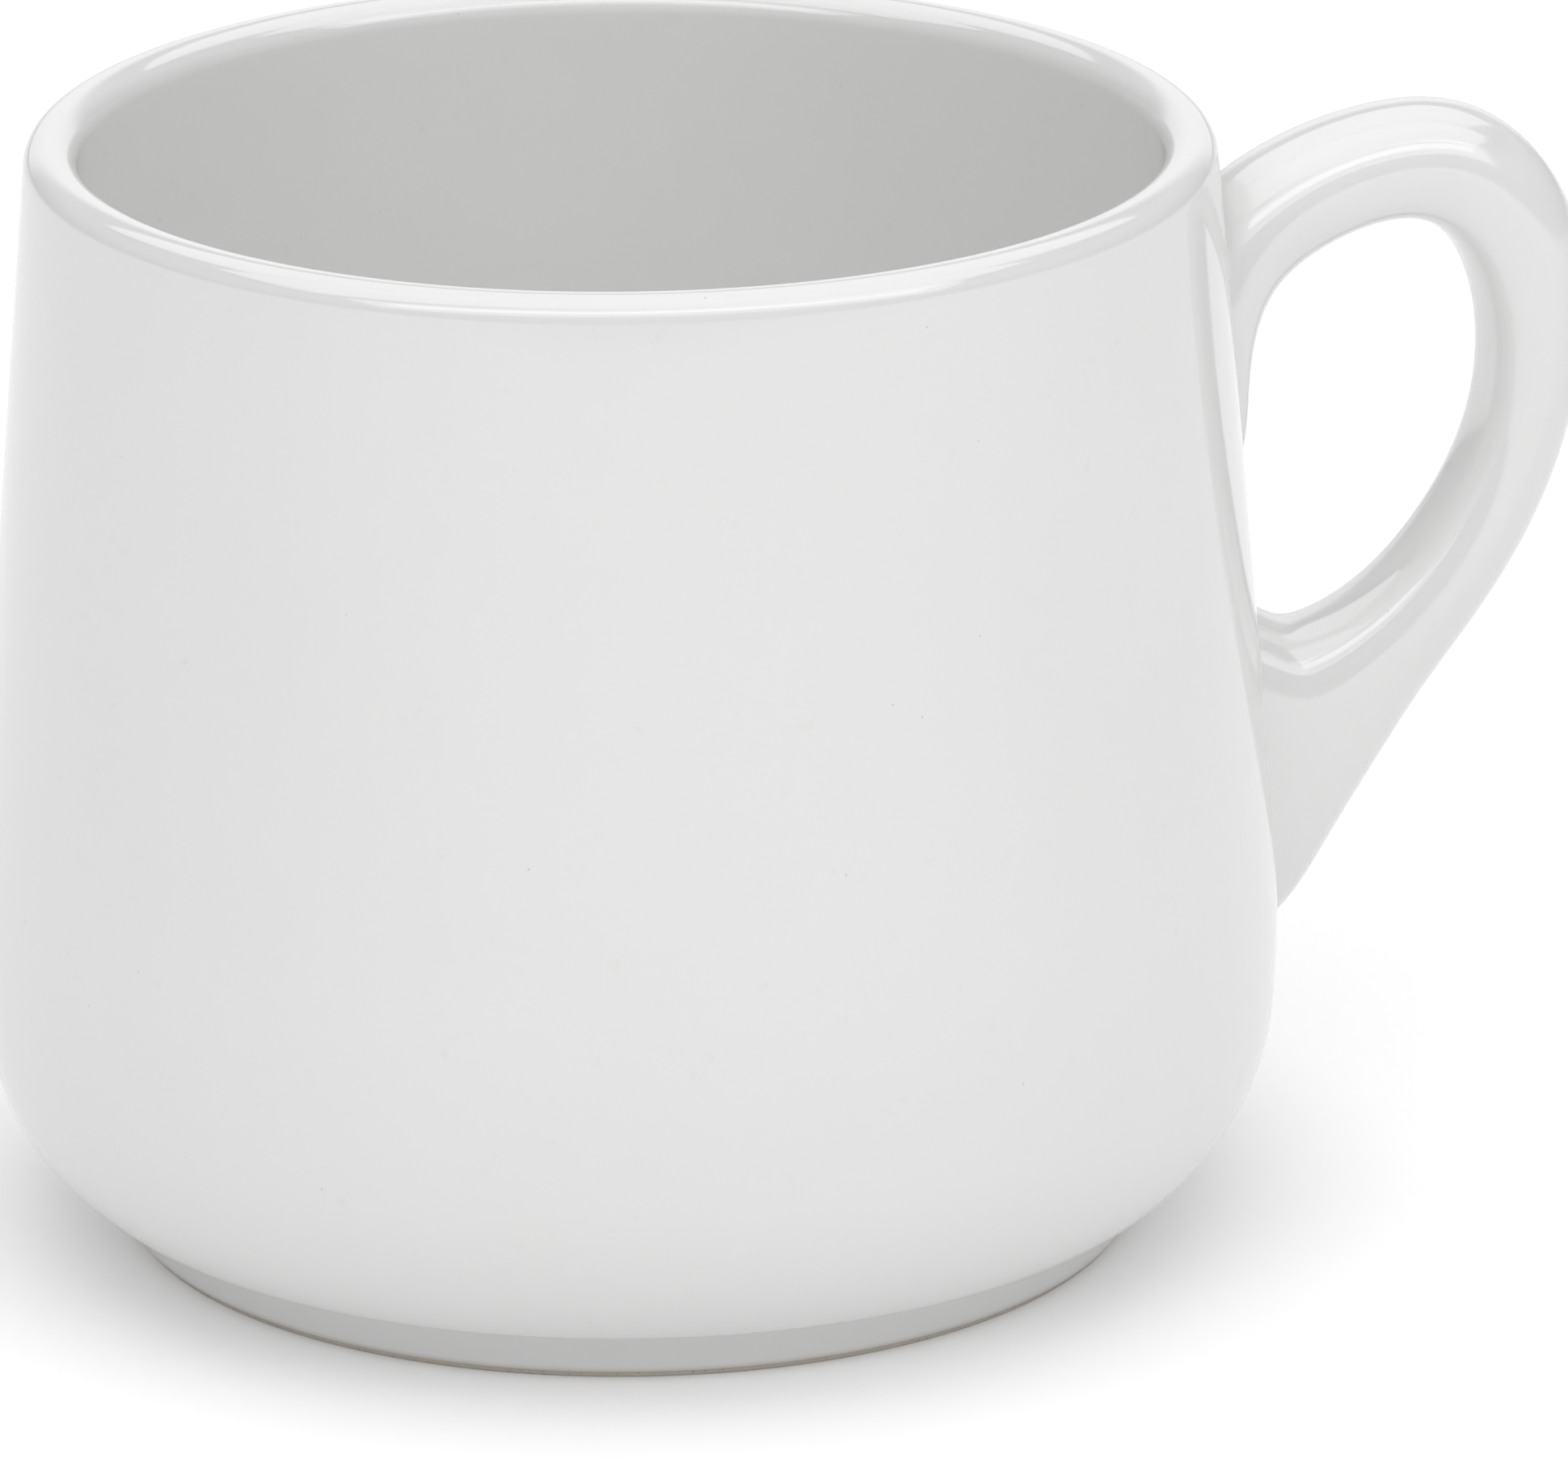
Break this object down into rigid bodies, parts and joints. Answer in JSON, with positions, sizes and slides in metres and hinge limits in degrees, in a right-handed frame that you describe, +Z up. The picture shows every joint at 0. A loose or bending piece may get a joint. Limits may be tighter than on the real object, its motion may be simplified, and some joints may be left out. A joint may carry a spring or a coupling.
{
  "type": "cup",
  "caption": "Glazed ceramic cup with a bowed belly, fully rounded lip, recessed foot ring and a loop handle with a deep lower root.",
  "frame": {"origin": "middle of the standing ring, on the surface that the cup stands on", "axes": "+Z up along the cup's axis, +X from the axis towards the handle, +Y to the left of someone looking along +X"},
  "size_m": [0.1257, 0.099, 0.085],
  "materials": {
    "clay": "fired white clay, matt and slightly gritty, bare only on the standing ring",
    "slip": "fired slip of the same clay",
    "glaze": "glossy white glaze"
  },
  "bodies": {
    "root": {"cup_body": "clay", "handle": "clay", "upper_slip_joint": "slip", "lower_slip_joint": "slip", "outer_glaze": "glaze", "liner_glaze": "glaze", "handle_glaze": "glaze", "base_glaze": "glaze"}
  },
  "joints": []
}
